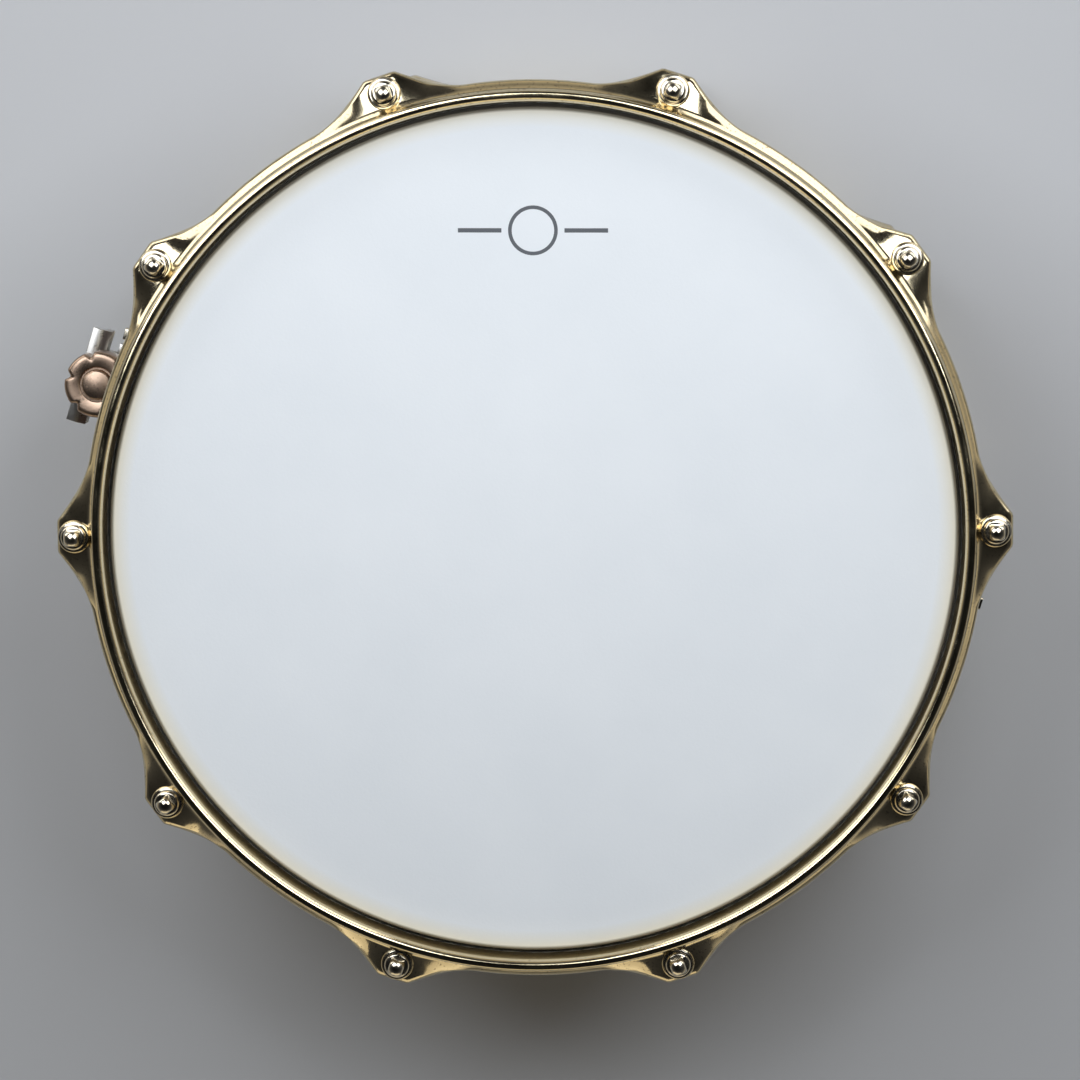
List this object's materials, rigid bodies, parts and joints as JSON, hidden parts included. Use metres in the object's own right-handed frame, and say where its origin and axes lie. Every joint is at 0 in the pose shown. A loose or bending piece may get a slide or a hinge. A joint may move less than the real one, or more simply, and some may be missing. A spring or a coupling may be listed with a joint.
{
  "type": "snare drum",
  "caption": "Snare drum: plied shell, die-cast hoops with rod ears, double-ended lugs, coated head, throw-off with tension knob, butt plate and coiled snare wires.",
  "frame": {"origin": "on the drum's axis, in the plane of the snare-side hoop's rim on which the drum stands", "axes": "+Z along the drum's axis towards the batter head; the throw-off is at -X and the butt plate at +X"},
  "size_m": [0.4102, 0.4, 0.1623],
  "materials": {
    "lacquered_wood": "gloss lacquer over a plied walnut-brown veneer",
    "coated_film": "white sprayed coating with a fine tooth",
    "clear_film": "thin hazy clear film",
    "aluminium_extrusion": "bright extrusion",
    "nickel_casting": "polished nickel plate on a casting",
    "nickel_parts": "polished nickel plate",
    "plated_steel": "nickel-plated turned steel",
    "black_gasket": "matt sheet",
    "brass": "turned and stamped",
    "nylon": "moulded",
    "strand_steel": "drawn wire, coiled",
    "strap_film": "milky film strap"
  },
  "bodies": {
    "root": {"shell": "lacquered_wood", "batter_head_film": "coated_film", "snare_head_film": "clear_film", "batter_flesh_hoop": "aluminium_extrusion", "snare_flesh_hoop": "aluminium_extrusion", "batter_hoop": "nickel_casting", "snare_hoop": "nickel_casting", "vent_grommet": "nickel_parts", "tension_rod_washers": "plated_steel", "lug_casings": "nickel_casting", "lug_gaskets": "black_gasket", "lug_nuts": "brass", "lug_nut_sleeves": "nylon", "lug_screws": "plated_steel", "lug_screw_washers": "plated_steel", "throw_off_base": "nickel_casting", "throw_off_gasket": "black_gasket", "throw_off_screws": "plated_steel", "lever_pivot_screws": "plated_steel", "butt_body": "nickel_casting", "butt_gasket": "black_gasket", "butt_screws": "plated_steel", "butt_clamp_plate": "nickel_parts", "butt_clamp_screws": "plated_steel", "mount_screw_washers": "plated_steel"},
    "throw_lever": {"throw_lever": "nickel_parts"},
    "carriage": {"carriage": "nickel_parts", "knob_wave_washer": "plated_steel"},
    "knob": {"tension_knob": "nickel_parts", "tension_screw": "plated_steel", "tension_screw_clip": "plated_steel"},
    "strap_clamp": {"clamp_block": "nickel_parts", "strap_clamp_plate": "nickel_parts", "strap_clamp_screws": "plated_steel"},
    "snare_wires": {"snare_strands": "strand_steel", "butt_end_plate": "brass", "throw_off_end_plate": "brass", "throw_off_strap": "strap_film", "butt_strap": "strap_film"},
    "batter_rod_01": {"batter_rod_01": "plated_steel"},
    "batter_rod_02": {"batter_rod_02": "plated_steel"},
    "batter_rod_03": {"batter_rod_03": "plated_steel"},
    "batter_rod_04": {"batter_rod_04": "plated_steel"},
    "batter_rod_05": {"batter_rod_05": "plated_steel"},
    "batter_rod_06": {"batter_rod_06": "plated_steel"},
    "batter_rod_07": {"batter_rod_07": "plated_steel"},
    "batter_rod_08": {"batter_rod_08": "plated_steel"},
    "batter_rod_09": {"batter_rod_09": "plated_steel"},
    "batter_rod_10": {"batter_rod_10": "plated_steel"},
    "snare_rod_01": {"snare_rod_01": "plated_steel"},
    "snare_rod_02": {"snare_rod_02": "plated_steel"},
    "snare_rod_03": {"snare_rod_03": "plated_steel"},
    "snare_rod_04": {"snare_rod_04": "plated_steel"},
    "snare_rod_05": {"snare_rod_05": "plated_steel"},
    "snare_rod_06": {"snare_rod_06": "plated_steel"},
    "snare_rod_07": {"snare_rod_07": "plated_steel"},
    "snare_rod_08": {"snare_rod_08": "plated_steel"},
    "snare_rod_09": {"snare_rod_09": "plated_steel"},
    "snare_rod_10": {"snare_rod_10": "plated_steel"}
  },
  "joints": [
    {"name": "lever_throw", "type": "hinge", "parent": "root", "child": "throw_lever", "pos_m": [-0.19124, 0, 0.066], "axis": [0, -1, 0], "range_deg": [0, 80]},
    {"name": "carriage_slide", "type": "slide", "parent": "root", "child": "carriage", "axis": [0, 0, -1], "range_m": [0, 0.009], "deforming": ["throw_off_strap"]},
    {"name": "knob_turn", "type": "hinge", "parent": "carriage", "child": "knob", "pos_m": [-0.1966, 0, 0.105], "axis": [0, 0, 1], "range_deg": [-1080, 1080]},
    {"name": "clamp_adjust", "type": "slide", "parent": "carriage", "child": "strap_clamp", "axis": [0, 0, 1], "range_m": [-0.0024, 0.0024]},
    {"name": "snare_drop", "type": "hinge", "parent": "root", "child": "snare_wires", "pos_m": [0.187, 0, 0.008], "axis": [0, -1, 0], "range_deg": [0, 0.5], "deforming": ["butt_strap"]},
    {"name": "tension_rod_batter_01", "type": "hinge", "parent": "root", "child": "batter_rod_01", "pos_m": [0.1826, 0.05933, 0.15], "axis": [0, 0, 1], "continuous": true},
    {"name": "tension_rod_batter_02", "type": "hinge", "parent": "root", "child": "batter_rod_02", "pos_m": [0.11285, 0.15533, 0.15], "axis": [0, 0, 1], "continuous": true},
    {"name": "tension_rod_batter_03", "type": "hinge", "parent": "root", "child": "batter_rod_03", "pos_m": [0, 0.192, 0.15], "axis": [0, 0, 1], "continuous": true},
    {"name": "tension_rod_batter_04", "type": "hinge", "parent": "root", "child": "batter_rod_04", "pos_m": [-0.11285, 0.15533, 0.15], "axis": [0, 0, 1], "continuous": true},
    {"name": "tension_rod_batter_05", "type": "hinge", "parent": "root", "child": "batter_rod_05", "pos_m": [-0.1826, 0.05933, 0.15], "axis": [0, 0, 1], "continuous": true},
    {"name": "tension_rod_batter_06", "type": "hinge", "parent": "root", "child": "batter_rod_06", "pos_m": [-0.1826, -0.05933, 0.15], "axis": [0, 0, 1], "continuous": true},
    {"name": "tension_rod_batter_07", "type": "hinge", "parent": "root", "child": "batter_rod_07", "pos_m": [-0.11285, -0.15533, 0.15], "axis": [0, 0, 1], "continuous": true},
    {"name": "tension_rod_batter_08", "type": "hinge", "parent": "root", "child": "batter_rod_08", "pos_m": [0, -0.192, 0.15], "axis": [0, 0, 1], "continuous": true},
    {"name": "tension_rod_batter_09", "type": "hinge", "parent": "root", "child": "batter_rod_09", "pos_m": [0.11285, -0.15533, 0.15], "axis": [0, 0, 1], "continuous": true},
    {"name": "tension_rod_batter_10", "type": "hinge", "parent": "root", "child": "batter_rod_10", "pos_m": [0.1826, -0.05933, 0.15], "axis": [0, 0, 1], "continuous": true},
    {"name": "tension_rod_snare_01", "type": "hinge", "parent": "root", "child": "snare_rod_01", "pos_m": [0.1826, 0.05933, 0.012], "axis": [0, 0, 1], "continuous": true},
    {"name": "tension_rod_snare_02", "type": "hinge", "parent": "root", "child": "snare_rod_02", "pos_m": [0.11285, 0.15533, 0.012], "axis": [0, 0, 1], "continuous": true},
    {"name": "tension_rod_snare_03", "type": "hinge", "parent": "root", "child": "snare_rod_03", "pos_m": [0, 0.192, 0.012], "axis": [0, 0, 1], "continuous": true},
    {"name": "tension_rod_snare_04", "type": "hinge", "parent": "root", "child": "snare_rod_04", "pos_m": [-0.11285, 0.15533, 0.012], "axis": [0, 0, 1], "continuous": true},
    {"name": "tension_rod_snare_05", "type": "hinge", "parent": "root", "child": "snare_rod_05", "pos_m": [-0.1826, 0.05933, 0.012], "axis": [0, 0, 1], "continuous": true},
    {"name": "tension_rod_snare_06", "type": "hinge", "parent": "root", "child": "snare_rod_06", "pos_m": [-0.1826, -0.05933, 0.012], "axis": [0, 0, 1], "continuous": true},
    {"name": "tension_rod_snare_07", "type": "hinge", "parent": "root", "child": "snare_rod_07", "pos_m": [-0.11285, -0.15533, 0.012], "axis": [0, 0, 1], "continuous": true},
    {"name": "tension_rod_snare_08", "type": "hinge", "parent": "root", "child": "snare_rod_08", "pos_m": [0, -0.192, 0.012], "axis": [0, 0, 1], "continuous": true},
    {"name": "tension_rod_snare_09", "type": "hinge", "parent": "root", "child": "snare_rod_09", "pos_m": [0.11285, -0.15533, 0.012], "axis": [0, 0, 1], "continuous": true},
    {"name": "tension_rod_snare_10", "type": "hinge", "parent": "root", "child": "snare_rod_10", "pos_m": [0.1826, -0.05933, 0.012], "axis": [0, 0, 1], "continuous": true}
  ],
  "couplings": [
    {"joint": "carriage_slide", "follows": "lever_throw", "m_per_rad": 0.0064457},
    {"joint": "snare_drop", "follows": "lever_throw", "ratio": 0.006249},
    {"joint": "clamp_adjust", "follows": "knob_turn", "m_per_rad": -0.00012732}
  ]
}
